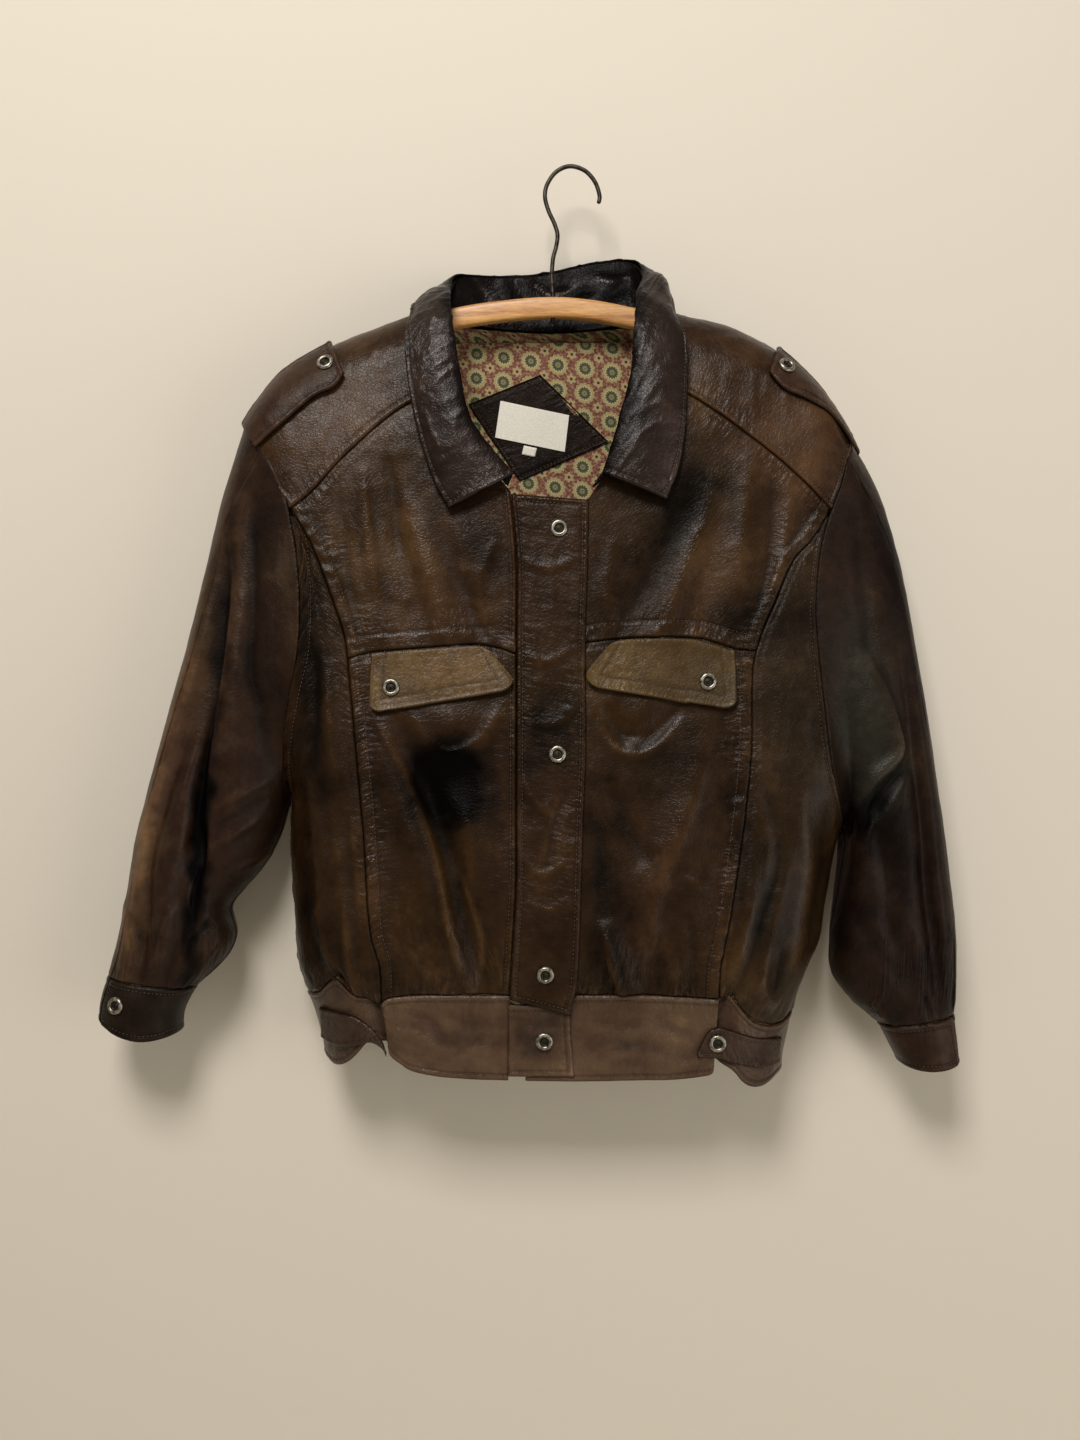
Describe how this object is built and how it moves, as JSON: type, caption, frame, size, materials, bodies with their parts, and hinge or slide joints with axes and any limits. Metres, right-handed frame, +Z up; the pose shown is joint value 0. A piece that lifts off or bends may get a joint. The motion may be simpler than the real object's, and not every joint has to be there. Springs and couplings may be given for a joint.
{
  "type": "worn leather jacket on a wooden hanger",
  "caption": "Worn brown leather blouson with a turned-down collar, epaulettes, flap pockets, snap placket and waistband, hanging open-necked on a wooden hanger with a wire hook.",
  "frame": {"origin": "inside of the hook's crown, the point that a peg or screw carries", "axes": "+Z up, +Y towards the wall behind the garment, +X to the viewer's right; the front faces -Y"},
  "size_m": [0.7479, 0.1217, 0.7956],
  "materials": {
    "leather_brown": "worn semi-gloss brown hide, creased and darkened with use",
    "leather_olive": "worn satin olive-tan hide",
    "leather_dark": "nearly black matt hide",
    "lining_cloth": "printed cotton lining, matt",
    "label_cloth": "plain woven tape, matt",
    "snap_metal": "dulled nickel plate",
    "hanger_wood": "varnished pale wood",
    "hook_steel": "darkened steel wire"
  },
  "bodies": {
    "root": {"back_panel": "leather_brown", "back_yoke": "leather_brown", "collar_fall": "leather_brown", "collar_stand": "leather_dark", "cuff_L": "leather_brown", "cuff_R": "leather_brown", "epaulette_L": "leather_olive", "epaulette_R": "leather_olive", "front_lower_L": "leather_brown", "front_lower_R": "leather_brown", "front_upper_L": "leather_brown", "front_upper_R": "leather_brown", "hanger_bar": "hanger_wood", "hanger_hook": "hook_steel", "label_blank": "label_cloth", "label_patch": "leather_dark", "lining_back": "lining_cloth", "placket": "leather_brown", "pocket_flap_L": "leather_olive", "pocket_flap_R": "leather_olive", "side_front_L": "leather_brown", "side_front_R": "leather_brown", "size_tab": "label_cloth", "sleeve_back_L": "leather_brown", "sleeve_back_R": "leather_brown", "sleeve_front_L": "leather_brown", "sleeve_front_R": "leather_brown", "snap_band": "snap_metal", "snap_cuff_L": "snap_metal", "snap_cuff_R": "snap_metal", "snap_epaulette_L": "snap_metal", "snap_epaulette_R": "snap_metal", "snap_flap_L": "snap_metal", "snap_flap_R": "snap_metal", "snap_placket_low": "snap_metal", "snap_placket_middle": "snap_metal", "snap_placket_top": "snap_metal", "snap_tab_R": "snap_metal", "waist_tab_L": "leather_brown", "waist_tab_R": "leather_brown", "waistband_back": "leather_brown", "waistband_front_L": "leather_brown", "waistband_front_R": "leather_brown", "waistband_overlap": "leather_brown", "waistband_side_L": "leather_brown", "waistband_side_R": "leather_brown", "yoke_L": "leather_brown", "yoke_R": "leather_brown"}
  },
  "joints": []
}
